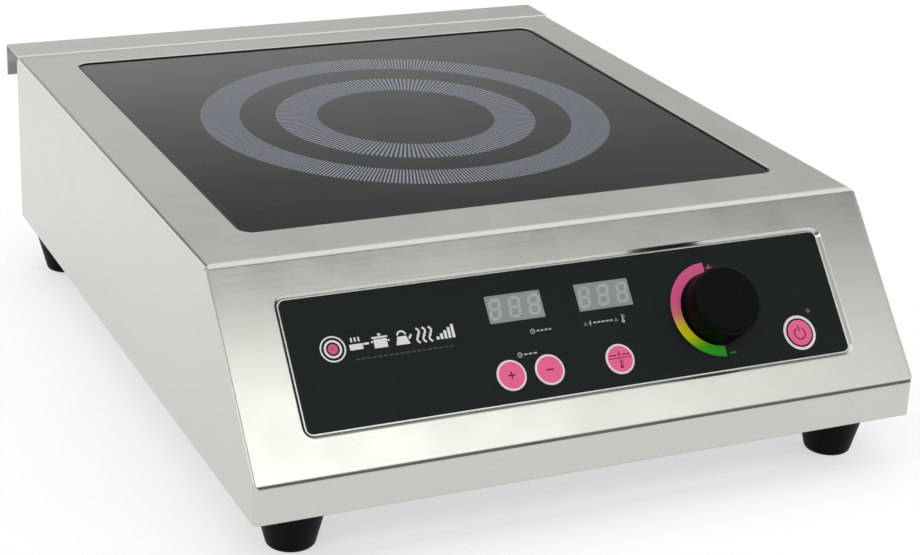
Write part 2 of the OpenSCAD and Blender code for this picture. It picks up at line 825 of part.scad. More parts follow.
module impeller() {
    chord = 22;
    reach = fan_bore_r - 1.1;
    color([0.12, 0.12, 0.13]) translate([0, fan_y, base_z]) {
        difference() {
            translate([0, 0, rotor_low]) cylinder(r = hub_r, h = rotor_top - rotor_low);
            translate([0, 0, rotor_low - e]) cylinder(r = 13.5, h = rotor_top - rotor_low - 2 + e);
            cylinder(r = fan_shaft_r, h = 30);
        }
        intersection() {
            for (i = [0 : blades - 1]) rotate(i * 360 / blades)
                translate([(hub_r + reach) / 2, 0, (rotor_low + rotor_top) / 2])
                    rotate([blade_pitch, 0, 0]) cube([reach, chord, 1.6], center = true);
            difference() {
                cylinder(r = reach, h = fan_h);
                translate([0, 0, -e]) cylinder(r = hub_r - 0.8, h = fan_h + 2 * e);
            }
        }
    }
}

module left_fan_frame() translate([-fan_x, 0, 0]) fan_frame();

module left_fan_shaft() translate([-fan_x, 0, 0]) fan_shaft();

module left_impeller() translate([-fan_x, 0, 0]) impeller();

module right_fan_frame() translate([fan_x, 0, 0]) fan_frame();

module right_fan_shaft() translate([fan_x, 0, 0]) fan_shaft();

module right_impeller() translate([fan_x, 0, 0]) impeller();

// Controls

module control_film() {
    color(black) on_slope() difference() {
        translate([0, film_mid, film_z]) rounded_plate(film_w, film_h, film_t, film_corner_r);
        slope_holes(0);
    }
}

module control_board() {
    color(board_green) on_slope() box(pcb_x[0], pcb_x[1], pcb_y[0], pcb_y[1], pcb_top - board_t, pcb_top);
}

module control_standoffs() {
    color(zinc) on_slope() for (p = [[-47, 23], [-47, 72], [122, 72], [93, 23], [45, 72], [45, 23]])
        translate([p[0], p[1], pcb_top]) cylinder(r = 2.5, h = recess_low - pcb_top);
}

module key_switches() {
    color([0.2, 0.2, 0.22]) on_slope()
        for (p = [[plus_x, key_y], [minus_x, key_y], [mode_x, key_y], power_xy])
            translate([p[0], p[1], pcb_top]) {
                box(-switch_w / 2, switch_w / 2, -switch_w / 2, switch_w / 2, 0, switch_h);
                translate([0, 0, switch_h - e])
                    cylinder(r = plunger_r, h = plunger_top - pcb_top - switch_h + e);
            }
}

// Three-digit module whose face fills the film's window
module display(x) {
    color([0.6, 0.62, 0.61]) on_slope() translate([x, display_y, 0]) {
        translate([0, 0, pcb_top]) rounded_plate(30, 14.6, recess_low - 0.1 - pcb_top, 0.8);
        translate([0, 0, recess_low - e])
            rounded_plate(display_w - 0.1, display_h - 0.1, film_top - 0.15 - recess_low + e, 0.6);
    }
}

module left_display() display(display_x[0]);

module right_display() display(display_x[1]);

// Round key: a domed disc on a stem that reaches for its switch
module key(x, y, r) {
    top = film_top + key_proud;
    low = plunger_top + key_travel + key_slack;
    color(pink) on_slope() translate([x, y, 0]) {
        translate([0, 0, top - key_t]) cylinder(r = r, h = key_t - key_edge);
        translate([0, 0, top - key_edge]) cylinder(r1 = r, r2 = r - key_edge, h = key_edge);
        translate([0, 0, low]) cylinder(r = key_stem_r, h = top - key_edge - low);
    }
}

module plus_key() key(plus_x, key_y, key_r);

module minus_key() key(minus_x, key_y, key_r);

module mode_key() key(mode_x, key_y, key_r);

module power_key() key(power_xy[0], power_xy[1], power_r);

module power_light() {
    color([0.8, 0.85, 0.8]) on_slope() translate([light_xy[0], light_xy[1], pcb_top]) {
        cylinder(r = 2.1, h = 1);
        cylinder(r = light_r, h = film_top - 0.1 - pcb_top);
    }
}

module at_knob() on_slope() translate([knob_xy[0], knob_xy[1], 0]) children();

module encoder() {
    color([0.55, 0.56, 0.58]) at_knob() difference() {
        union() {
            box(-6.2, 6.2, -6.2, 6.2, pcb_top, -5.5);
            translate([0, 0, -5.5 - e]) cylinder(r = bushing_r, h = 5.5 + e + bushing_top);
        }
        translate([0, 0, -6.8]) cylinder(r = shaft_r + shaft_play, h = 20);
        translate([0, 0, -9.4]) cylinder(r = 4.7, h = 2.6);
    }
}

module encoder_shaft() {
    color([0.8, 0.8, 0.82]) at_knob() {
        translate([0, 0, -9]) cylinder(r = 4.3, h = 1.8);
        translate([0, 0, -9]) cylinder(r = shaft_r, h = 9 + shaft_top);
    }
}

module encoder_nut() {
    color(zinc) at_knob() translate([0, 0, film_top]) difference() {
        cylinder(r = 7.2, h = nut_t, $fn = 6);
        translate([0, 0, -e]) cylinder(r = bushing_r, h = nut_t + 2 * e);
    }
}

// Plain round cap: slightly crowned face, hollow skirt and a boss on the shaft
module knob() {
    low = film_top + 0.6;
    face = knob_h - knob_crown;
    color(black) at_knob() difference() {
        in_parts() rotate_extrude($fn = 96)
            outline([[0, low], [knob_r, low], [knob_r, face], [0, knob_h]], [0, 0, knob_edge_r, 0]);
        difference() {
            translate([0, 0, low - e]) cylinder(r = knob_r - knob_wall, h = face - knob_wall - low + e);
            translate([0, 0, bushing_top + 0.8]) cylinder(r = knob_boss_r, h = face);
        }
        translate([0, 0, low]) cylinder(r = shaft_r, h = shaft_top + 0.1 - low);
    }
}

top_shell();
rear_spacer();
base_plate();
rear_panel();
feet();
foot_screws();
foot_nuts();
case_screws();
rear_screws();
spacer_rivets();
cable_gland();
gland_nut();
glass_plate();
glass_seal();
mica_sheet();
coil_winding();
coil_former();
ferrite_bars();
coil_plate();
coil_springs();
coil_posts();
glass_sensor();
coil_leads();
power_board();
board_standoffs();
heatsink();
power_transistors();
bridge_rectifier();
resonant_capacitors();
filter_capacitors();
filter_inductor();
supply_transformer();
fuse();
terminal_block();
left_fan_frame();
left_fan_shaft();
left_impeller();
right_fan_frame();
right_fan_shaft();
right_impeller();
fan_screws();
control_cable();
control_film();
control_board();
control_standoffs();
key_switches();
left_display();
right_display();
plus_key();
minus_key();
mode_key();
power_key();
power_light();
encoder();
encoder_shaft();
encoder_nut();
knob();
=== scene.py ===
"""Looks of the induction hob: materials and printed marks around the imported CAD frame."""
import json
import math

import bmesh
import bpy
from mathutils import Matrix, Vector


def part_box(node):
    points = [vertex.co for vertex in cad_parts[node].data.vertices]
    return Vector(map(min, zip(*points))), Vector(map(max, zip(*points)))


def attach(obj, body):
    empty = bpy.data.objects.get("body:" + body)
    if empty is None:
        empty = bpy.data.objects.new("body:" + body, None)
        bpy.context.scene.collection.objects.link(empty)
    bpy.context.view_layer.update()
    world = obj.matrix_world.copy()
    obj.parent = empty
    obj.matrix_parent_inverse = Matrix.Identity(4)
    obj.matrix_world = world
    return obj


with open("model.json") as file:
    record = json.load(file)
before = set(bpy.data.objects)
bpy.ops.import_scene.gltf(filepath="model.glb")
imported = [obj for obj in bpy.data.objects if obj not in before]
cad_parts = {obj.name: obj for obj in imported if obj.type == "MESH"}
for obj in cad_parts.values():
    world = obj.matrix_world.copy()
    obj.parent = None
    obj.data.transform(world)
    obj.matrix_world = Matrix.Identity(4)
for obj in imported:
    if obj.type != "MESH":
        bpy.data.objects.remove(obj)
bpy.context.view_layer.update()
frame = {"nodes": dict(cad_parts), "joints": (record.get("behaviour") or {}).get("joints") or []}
MM = 0.001
PRINT = 0.04 * MM


# ---------------------------------------------------------------- frame

def node_box(name):
    low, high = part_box(name)
    return low, high, (low + high) / 2


def joint(name):
    return next(j for j in frame["joints"] if j["name"] == name)


def level(name, direction):
    """How far a node reaches along a direction."""
    return max(v.co.dot(direction) for v in frame["nodes"][name].data.vertices)


NORMAL = Vector(joint("knob_turn")["axis"]).normalized()
UP_SLOPE = Vector((0, NORMAL.z, -NORMAL.y))
ACROSS = Vector((1, 0, 0))


def on_slope(node):
    """Frame on the control slope, with its origin over a node's middle, on its outer face."""
    up = (level(node, UP_SLOPE) - level(node, -UP_SLOPE)) / 2
    origin = ACROSS * node_box(node)[2].x + UP_SLOPE * up + NORMAL * level(node, NORMAL)
    m = Matrix((ACROSS, UP_SLOPE, NORMAL)).transposed().to_4x4()
    m.translation = origin
    return m


def lying(x, y, z):
    return Matrix.Translation((x, y, z))


# ---------------------------------------------------------------- colours and node trees

def srgb(r, g, b):
    """Linear colour of an 8-bit sRGB one."""
    def channel(c):
        c /= 255
        return c / 12.92 if c <= 0.04045 else ((c + 0.055) / 1.055) ** 2.4
    return (channel(r), channel(g), channel(b), 1.0)


def shade(colour, k):
    return (*(min(1.0, c * k) for c in colour[:3]), 1.0)


class Tree:
    """A node tree with short calls for the nodes used here."""

    def __init__(self, tree):
        self.nodes = tree.nodes
        self.links = tree.links
        self.coordinates = self.nodes.new("ShaderNodeTexCoord")
        self.place = self.coordinates.outputs["Object"]

    def put(self, socket, value):
        if isinstance(value, bpy.types.NodeSocket):
            self.links.new(value, socket)
        else:
            socket.default_value = value

    def add(self, kind, inputs, out, **settings):
        node = self.nodes.new(kind)
        for key, value in settings.items():
            setattr(node, key, value)
        for key, value in inputs.items():
            self.put(node.inputs[key], value)
        return node.outputs[out]

    def stretched(self, x, y, z):
        return self.add("ShaderNodeMapping", {"Vector": self.place, "Scale": (x, y, z)}, "Vector")

    def noise(self, scale, detail=2.0, rough=0.5, place=None):
        return self.add("ShaderNodeTexNoise",
                        {"Vector": place or self.place, "Scale": scale,
                         "Detail": detail, "Roughness": rough},
                        "Fac")

    def cells(self, scale, out="Distance"):
        return self.add("ShaderNodeTexVoronoi", {"Vector": self.place, "Scale": scale}, out)

    def math(self, operation, a, b=0.0):
        return self.add("ShaderNodeMath", {0: a, 1: b}, "Value", operation=operation)

    def dot(self, a, b):
        return self.add("ShaderNodeVectorMath", {0: a, 1: b}, "Value", operation="DOT_PRODUCT")

    def span(self, value, low, high, to_low=0.0, to_high=1.0):
        return self.add("ShaderNodeMapRange", {"Value": value, "From Min": low, "From Max": high,
                                               "To Min": to_low, "To Max": to_high}, "Result")

    def mix(self, factor, a, b):
        node = self.nodes.new("ShaderNodeMix")
        node.data_type = "RGBA"
        self.put(node.inputs[0], factor)
        self.put(node.inputs[6], a)
        self.put(node.inputs[7], b)
        return node.outputs[2]

    def blend_values(self, factor, a, b):
        node = self.nodes.new("ShaderNodeMix")
        self.put(node.inputs[0], factor)
        self.put(node.inputs[2], a)
        self.put(node.inputs[3], b)
        return node.outputs[0]

    def ramp(self, value, stops):
        node = self.nodes.new("ShaderNodeValToRGB")
        self.put(node.inputs["Fac"], value)
        marks = node.color_ramp.elements
        while len(marks) < len(stops):
            marks.new(0.5)
        for mark, (at, colour) in zip(marks, stops):
            mark.position = at
            mark.color = colour
        return node.outputs["Color"]

    def bump(self, height, depth, strength=1.0, over=None):
        inputs = {"Height": height, "Distance": depth, "Strength": strength}
        if over:
            inputs["Normal"] = over
        return self.add("ShaderNodeBump", inputs, "Normal")

    def axis(self, output, index):
        return self.add("ShaderNodeSeparateXYZ", {"Vector": self.coordinates.outputs[output]}, index)

    def step(self, value, low, high):
        """Smooth step: 0 at low, 1 at high."""
        inputs = {"Value": value, "From Min": low, "From Max": high}
        return self.add("ShaderNodeMapRange", inputs, "Result", interpolation_type="SMOOTHSTEP")


class Graph(Tree):
    """Node tree of one material."""

    def __init__(self, name):
        self.material = bpy.data.materials.new(name)
        self.material.use_nodes = True
        super().__init__(self.material.node_tree)
        self.surface = self.nodes["Principled BSDF"]

    def edges(self, radius):
        """1 on sharp edges, 0 on flats."""
        soft = self.add("ShaderNodeBevel", {"Radius": radius}, "Normal", samples=4)
        flat = self.add("ShaderNodeNewGeometry", {}, "Normal")
        alike = self.dot(soft, flat)
        return self.span(alike, 0.995, 0.85)

    def finish(self, **sockets):
        for key, value in sockets.items():
            self.put(self.surface.inputs[key.replace("_", " ")], value)
        return self.material


# ---------------------------------------------------------------- materials

def brushed_steel(name, tone, rough):
    """Sheet with a fine satin grain: across on the top and front, front to back on the sides.

    The top is scoured rougher by cleaning.
    """
    g = Graph(name)
    sideways = g.math("GREATER_THAN", g.math("ABSOLUTE", g.axis("Normal", "X")), 0.7)
    long_grain = g.noise(1.0, 2.0, 0.5, g.stretched(9, 5200, 5200))
    side_grain = g.noise(1.0, 2.0, 0.5, g.stretched(5200, 9, 5200))
    grain = g.blend_values(sideways, long_grain, side_grain)
    clouds = g.noise(7.0, 3.0, 0.55)
    smudges = g.noise(31.0, 4.0, 0.6)
    wear = g.edges(0.5 * MM)
    colour = g.mix(g.span(grain, 0.3, 0.7), shade(tone, 0.975), shade(tone, 1.02))
    colour = g.mix(g.span(clouds, 0.35, 0.7, 0.0, 0.5), colour, shade(tone, 0.97))
    colour = g.mix(g.math("MULTIPLY", wear, 0.25), colour, shade(tone, 1.1))
    uneven = g.math("ADD", g.span(grain, 0.25, 0.75, -0.02, 0.02),
                    g.span(smudges, 0.35, 0.7, -0.015, 0.03))
    rounded = g.add("ShaderNodeBevel", {"Radius": 0.6 * MM}, "Normal", samples=4)
    waves = g.bump(g.noise(5.0, 1.0, 0.4), 0.25 * MM, 0.5, rounded)
    scoured = g.math("MULTIPLY", g.step(g.axis("Normal", "Z"), 0.85, 0.97), 0.16)
    return g.finish(Base_Color=colour, Metallic=1.0,
                    Roughness=g.math("ADD", g.math("ADD", uneven, rough), scoured),
                    Normal=g.bump(grain, 0.0015 * MM, 0.5, waves))


def glass_ceramic(name):
    """Black cooktop glass: deep colour, faint light specks, wipe marks in the gloss."""
    g = Graph(name)
    specks = g.span(g.cells(900.0), 0.22, 0.05, 0.0, 1.0)
    grains = g.noise(1500.0, 2.0, 0.7)
    wipes = g.noise(1.0, 4.0, 0.6, g.stretched(8, 30, 30))
    colour = g.mix(g.span(grains, 0.3, 0.7), srgb(10, 13, 12), srgb(20, 24, 22))
    colour = g.mix(g.math("MULTIPLY", specks, 0.3), colour, srgb(66, 71, 68))
    return g.finish(Base_Color=colour, Roughness=g.span(wipes, 0.3, 0.7, 0.09, 0.15), IOR=1.41,
                    Normal=g.bump(grains, 0.002 * MM, 0.4))


def moulded(name, colour, rough, grain=0.02 * MM, scale=1800.0, wear=1.6, coat=0.0, gloss=0.5):
    """Moulded plastic or rubber: fine spark-eroded grain, uneven gloss, paler edges."""
    g = Graph(name)
    texture = g.noise(scale, 3.0, 0.6)
    patches = g.noise(60.0, 3.0, 0.5)
    tone = g.mix(g.span(texture, 0.3, 0.7), shade(colour, 0.86), shade(colour, 1.12))
    tone = g.mix(g.span(patches, 0.4, 0.7, 0.0, 0.4), tone, shade(colour, 1.25))
    tone = g.mix(g.math("MULTIPLY", g.edges(0.5 * MM), 0.6), tone, shade(colour, wear))
    return g.finish(Base_Color=tone, Roughness=g.span(patches, 0.3, 0.7, rough - 0.05, rough + 0.06),
                    Coat_Weight=coat, Specular_IOR_Level=gloss, Normal=g.bump(texture, grain, 0.5))


def plain_metal(name, colour, rough, scale=700.0):
    """Drawn, rolled or cast metal: fine pits, cloudy tone, brighter rubbed edges."""
    g = Graph(name)
    pits = g.noise(scale, 4.0, 0.65)
    clouds = g.noise(45.0, 3.0, 0.6)
    tone = g.mix(g.span(clouds, 0.3, 0.7), shade(colour, 0.84), shade(colour, 1.08))
    tone = g.mix(g.math("MULTIPLY", g.edges(0.4 * MM), 0.7), tone, shade(colour, 1.25))
    rough = g.span(pits, 0.3, 0.7, rough - 0.06, rough + 0.08)
    return g.finish(Base_Color=tone, Metallic=1.0, Roughness=rough,
                    Normal=g.bump(pits, 0.01 * MM, 0.5))


def zinc_plate(name):
    """Galvanised sheet with its spangle of crystals."""
    g = Graph(name)
    spangle = g.cells(160.0, out="Color")
    grey = g.add("ShaderNodeSeparateColor", {"Color": spangle}, "Red")
    streaks = g.noise(1.0, 3.0, 0.6, g.stretched(20, 900, 900))
    tone = g.mix(grey, srgb(150, 152, 154), srgb(186, 188, 190))
    tone = g.mix(g.math("MULTIPLY", g.edges(0.5 * MM), 0.6), tone, srgb(215, 217, 219))
    return g.finish(Base_Color=tone, Metallic=1.0, Roughness=g.span(grey, 0.0, 1.0, 0.3, 0.48),
                    Normal=g.bump(streaks, 0.004 * MM, 0.5))


def film(name, colour, rough):
    """Printed polycarbonate film: velvet texture over a deep colour, rubbed in places."""
    g = Graph(name)
    texture = g.noise(2600.0, 2.0, 0.7)
    rubbed = g.noise(55.0, 4.0, 0.6)
    tone = g.mix(g.span(texture, 0.25, 0.75), shade(colour, 0.72), shade(colour, 1.3))
    tone = g.mix(g.span(rubbed, 0.4, 0.75, 0.0, 0.35), tone, shade(colour, 1.25))
    return g.finish(Base_Color=tone, Roughness=g.span(rubbed, 0.3, 0.7, rough - 0.04, rough + 0.06),
                    Specular_IOR_Level=0.17, Normal=g.bump(texture, 0.008 * MM, 0.5))


def ink(name, colour, rough=0.42):
    """Screen-printed ink: slightly uneven cover."""
    g = Graph(name)
    cover = g.noise(2200.0, 2.0, 0.6)
    tone = g.mix(g.span(cover, 0.3, 0.7), shade(colour, 0.93), shade(colour, 1.05))
    return g.finish(Base_Color=tone, Roughness=g.span(cover, 0.3, 0.7, rough - 0.05, rough + 0.05),
                    Specular_IOR_Level=0.2, Normal=g.bump(cover, 0.004 * MM, 0.4))


def scale_ink(name, middle):
    """Power scale: pink at the top, through yellow, to green at the bottom."""
    g = Graph(name)
    reach = 23 * MM
    along = g.dot(g.place, tuple(UP_SLOPE))
    low = middle.dot(UP_SLOPE) - reach
    tone = g.ramp(g.span(along, low, low + 2 * reach), [
        (0.02, srgb(8, 158, 14)), (0.13, srgb(50, 172, 8)), (0.26, srgb(205, 205, 2)),
        (0.37, srgb(216, 196, 20)), (0.50, srgb(220, 112, 110)), (0.62, srgb(222, 84, 140))])
    cover = g.noise(2200.0, 2.0, 0.6)
    tone = g.mix(g.span(cover, 0.3, 0.7, 0.0, 0.1), tone, srgb(120, 90, 90))
    return g.finish(Base_Color=tone, Roughness=g.span(cover, 0.3, 0.7, 0.38, 0.46), Specular_IOR_Level=0.2,
                    Normal=g.bump(cover, 0.004 * MM, 0.4))


def litz(name):
    """Winding of enamelled strands, twisted together."""
    g = Graph(name)
    strands = g.add("ShaderNodeTexWave", {"Vector": g.stretched(1, 1, 1), "Scale": 420.0, "Distortion": 6.0,
                                          "Detail": 2.0}, "Fac", wave_type="RINGS", rings_direction="Z")
    tone = g.mix(strands, srgb(120, 62, 30), srgb(206, 128, 78))
    return g.finish(Base_Color=tone, Metallic=0.85, Roughness=g.span(strands, 0.0, 1.0, 0.42, 0.3),
                    Coat_Weight=0.4, Normal=g.bump(strands, 0.12 * MM, 0.8))


def wound(name, wire, gap):
    """Core covered by turns of wire or tape."""
    g = Graph(name)
    turns = g.add("ShaderNodeTexWave", {"Vector": g.place, "Scale": 260.0, "Distortion": 1.0}, "Fac",
                  wave_type="BANDS", bands_direction="DIAGONAL")
    tone = g.mix(turns, gap, wire)
    return g.finish(Base_Color=tone, Roughness=g.span(turns, 0.0, 1.0, 0.6, 0.32),
                    Normal=g.bump(turns, 0.2 * MM, 0.8))


def circuit_board(name):
    """Green board with darker tracks and bright solder points."""
    g = Graph(name)
    tracks = g.span(g.cells(190.0), 0.30, 0.34)
    points = g.span(g.cells(330.0), 0.16, 0.11)
    weave = g.noise(2400.0, 2.0, 0.6)
    tone = g.mix(tracks, srgb(18, 84, 50), srgb(32, 112, 66))
    tone = g.mix(points, tone, srgb(190, 192, 188))
    tone = g.mix(g.span(weave, 0.4, 0.8, 0.0, 0.2), tone, srgb(52, 130, 84))
    return g.finish(Base_Color=tone, Roughness=g.span(weave, 0.3, 0.7, 0.28, 0.42), Coat_Weight=0.3,
                    Normal=g.bump(tracks, 0.03 * MM, 0.6))


def mica(name):
    """Pressed mica flakes."""
    g = Graph(name)
    flakes = g.add("ShaderNodeSeparateColor", {"Color": g.cells(260.0, out="Color")}, "Green")
    tone = g.mix(flakes, srgb(176, 162, 130), srgb(226, 216, 190))
    return g.finish(Base_Color=tone, Roughness=g.span(flakes, 0.0, 1.0, 0.25, 0.5), Coat_Weight=0.2,
                    Normal=g.bump(flakes, 0.03 * MM, 0.6))


def ribbon(name):
    """Flat cable: parallel conductors under grey insulation."""
    g = Graph(name)
    wires = g.add("ShaderNodeTexWave", {"Vector": g.place, "Scale": 390.0}, "Fac",
                  wave_type="BANDS", bands_direction="X")
    tone = g.mix(wires, srgb(140, 142, 146), srgb(196, 198, 202))
    return g.finish(Base_Color=tone, Roughness=g.span(wires, 0.0, 1.0, 0.5, 0.38),
                    Normal=g.bump(wires, 0.2 * MM, 0.8))


BLACK = srgb(5, 8, 8)
FINISHES = {
    "stainless": lambda n: brushed_steel(n, srgb(200, 199, 194), 0.18),
    "zinc_steel": zinc_plate,
    "glass_ceramic": glass_ceramic,
    "silicone": lambda n: moulded(n, srgb(14, 14, 14), 0.5, wear=1.2),
    "mica": mica,
    "litz_copper": litz,
    "former_plastic": lambda n: moulded(n, srgb(226, 220, 204), 0.5, wear=1.05),
    "ferrite": lambda n: moulded(n, srgb(60, 60, 63), 0.62, grain=0.05 * MM, scale=900.0),
    "aluminium": lambda n: plain_metal(n, srgb(206, 208, 210), 0.38),
    "wire_sleeve": lambda n: moulded(n, srgb(212, 212, 204), 0.5, wear=1.05),
    "circuit_board": circuit_board,
    "brass": lambda n: plain_metal(n, srgb(205, 172, 96), 0.3),
    "device_black": lambda n: moulded(n, srgb(40, 40, 42), 0.45),
    "capacitor": lambda n: moulded(n, srgb(214, 206, 60), 0.35, wear=1.1, coat=0.2),
    "filter_blue": lambda n: moulded(n, srgb(46, 76, 150), 0.35, wear=1.3, coat=0.2),
    "inductor": lambda n: wound(n, srgb(184, 104, 50), srgb(66, 34, 18)),
    "transformer": lambda n: wound(n, srgb(214, 186, 60), srgb(84, 74, 60)),
    "fuse_glass": lambda n: moulded(n, srgb(196, 206, 206), 0.15, grain=0.004 * MM, wear=1.1, coat=0.5),
    "terminal_green": lambda n: moulded(n, srgb(52, 118, 66), 0.45, wear=1.2),
    "fan_black": lambda n: moulded(n, srgb(34, 35, 37), 0.42),
    "shaft_steel": lambda n: plain_metal(n, srgb(200, 200, 204), 0.22, scale=1500.0),
    "film_black": lambda n: film(n, srgb(4, 14, 14), 0.34),
    "display_face": lambda n: film(n, srgb(137, 144, 142), 0.40),
    "key_pink": lambda n: ink(n, srgb(234, 100, 146), 0.45),
    "light_lens": lambda n: moulded(n, srgb(58, 72, 68), 0.25, grain=0.004 * MM, wear=1.1, coat=0.4),
    "foot_black": lambda n: moulded(n, srgb(3, 8, 9), 0.5, grain=0.07 * MM, wear=1.8, gloss=0.07),
    "black_plastic": lambda n: moulded(n, BLACK, 0.4, grain=0.13 * MM, scale=1500.0, wear=1.5,
                                       gloss=0.06),
    "sensor_red": lambda n: moulded(n, srgb(178, 56, 42), 0.5, wear=1.2),
    "flat_cable": ribbon,
}
finished = {}


def finish_of(slot):
    """Material of a slot, made when it is first asked for."""
    if slot not in finished:
        finished[slot] = FINISHES[slot]("hob_" + slot)
    return finished[slot]


def dress_cad():
    """Gives each CAD node its slot's finish."""
    for slots in frame["nodes"].values():
        for index, old in enumerate(slots.data.materials):
            slots.data.materials[index] = finish_of(old.name.split(".")[0])


# ---------------------------------------------------------------- mesh building

def strip(bm, pairs, closed=False):
    """Printed band over pairs of inner and outer points."""
    rows = [[bm.verts.new((x, y, z)) for (x, y), z in
             ((inner, 0.0), (outer, 0.0), (outer, PRINT), (inner, PRINT))] for inner, outer in pairs]
    count = len(rows)
    for i in range(count if closed else count - 1):
        a, b = rows[i], rows[(i + 1) % count]
        for j in range(4):
            k = (j + 1) % 4
            bm.faces.new((a[j], a[k], b[k], b[j]))
    if not closed:
        bm.faces.new(rows[0][::-1])
        bm.faces.new(rows[-1])


def bar(bm, start, end, width):
    """Straight stroke between two points."""
    a, b = Vector(start), Vector(end)
    side = (b - a).orthogonal().normalized() * width / 2
    strip(bm, [(a - side, a + side), (b - side, b + side)])


def arc(bm, centre, r_in, r_out, start, end, steps):
    """Band between two radii, from one angle to another, in degrees."""
    closed = abs(end - start) >= 360
    pairs = []
    for i in range(steps if closed else steps + 1):
        a = math.radians(start + (end - start) * i / steps)
        ray = Vector((math.cos(a), math.sin(a)))
        pairs.append((Vector(centre) + ray * r_in, Vector(centre) + ray * r_out))
    strip(bm, pairs, closed)


def revolve(bm, profile):
    """Closed ring turned from a list of (radius, height) corners."""
    steps = 72
    rings = []
    for i in range(steps):
        a = math.tau * i / steps
        rings.append([bm.verts.new((r * math.cos(a), r * math.sin(a), z)) for r, z in profile])
    for i in range(steps):
        here, after = rings[i], rings[(i + 1) % steps]
        for j in range(len(profile)):
            k = (j + 1) % len(profile)
            bm.faces.new((here[j], after[j], after[k], here[k]))


def edge_band(bm, radius, width):
    """Printed band on the face of a key that goes on over its bevelled edge."""
    bevel = 0.25 * MM
    under = [(radius - width, -PRINT / 2), (radius - bevel, -PRINT / 2), (radius - PRINT / 4, -bevel)]
    over = [(radius + PRINT, -bevel), (radius - bevel + PRINT, PRINT), (radius - width, PRINT)]
    revolve(bm, under + over)


def plate(bm, points):
    """Printed patch with a convex outline."""
    bottom = [bm.verts.new((x, y, 0.0)) for x, y in points]
    top = [bm.verts.new((x, y, PRINT)) for x, y in points]
    bm.faces.new(bottom[::-1])
    bm.faces.new(top)
    for i in range(len(points)):
        j = (i + 1) % len(points)
        bm.faces.new((bottom[i], bottom[j], top[j], top[i]))


def piece(name, bm, body, material, matrix):
    """Object made of a mesh, riding on a body."""
    bmesh.ops.recalc_face_normals(bm, faces=bm.faces)
    bm.transform(matrix)
    mesh = bpy.data.meshes.new(name)
    bm.to_mesh(mesh)
    bm.free()
    mesh.materials.append(material)
    thing = bpy.data.objects.new(name, mesh)
    bpy.context.scene.collection.objects.link(thing)
    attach(thing, body)
    return thing


# ---------------------------------------------------------------- printed marks

def cooking_zone():
    """The two rings of fine radial lines printed on the glass."""
    _, high, middle = node_box("glass_plate")
    silver = ink("zone_ink", srgb(126, 130, 142), 0.35)
    rings = (("outer_zone_ring", 86, 106, 354), ("inner_zone_ring", 46, 67.4, 177))
    for name, r_in, r_out, lines in rings:
        bm = bmesh.new()
        pitch = 360 / lines
        for i in range(lines):
            arc(bm, (0, 0), r_in * MM, r_out * MM, i * pitch, (i + 0.5) * pitch, steps=1)
        piece(name, bm, "chassis", silver, lying(middle.x, middle.y, high.z))


def cross(bm, x, y, size, width):
    """Plus mark of three strokes that don't overlap."""
    bar(bm, (x - size / 2, y), (x - width / 2, y), width)
    bar(bm, (x + width / 2, y), (x + size / 2, y), width)
    bar(bm, (x, y - size / 2), (x, y + size / 2), width)


def power_scale():
    """Coloured arc round the knob, with its plus and minus marks."""
    middle = Vector(joint("knob_turn")["pos_m"])
    flat = on_slope("control_film")
    flat.translation += ACROSS * (middle - flat.translation).dot(ACROSS)
    flat.translation += UP_SLOPE * (middle - flat.translation).dot(UP_SLOPE)
    bm = bmesh.new()
    arc(bm, (0, 0), 17.9 * MM, 22.9 * MM, 91, 267, steps=72)
    piece("power_scale", bm, "chassis", scale_ink("scale_ink", middle), flat)
    bm = bmesh.new()
    cross(bm, 2.3 * MM, 20.0 * MM, 3.3 * MM, 0.8 * MM)
    piece("scale_plus", bm, "chassis", ink("plus_ink", srgb(200, 60, 110)), flat)
    bm = bmesh.new()
    bar(bm, (0.7 * MM, -21.6 * MM), (4.1 * MM, -21.6 * MM), 0.8 * MM)
    piece("scale_minus", bm, "chassis", ink("minus_ink", srgb(10, 130, 50)), flat)


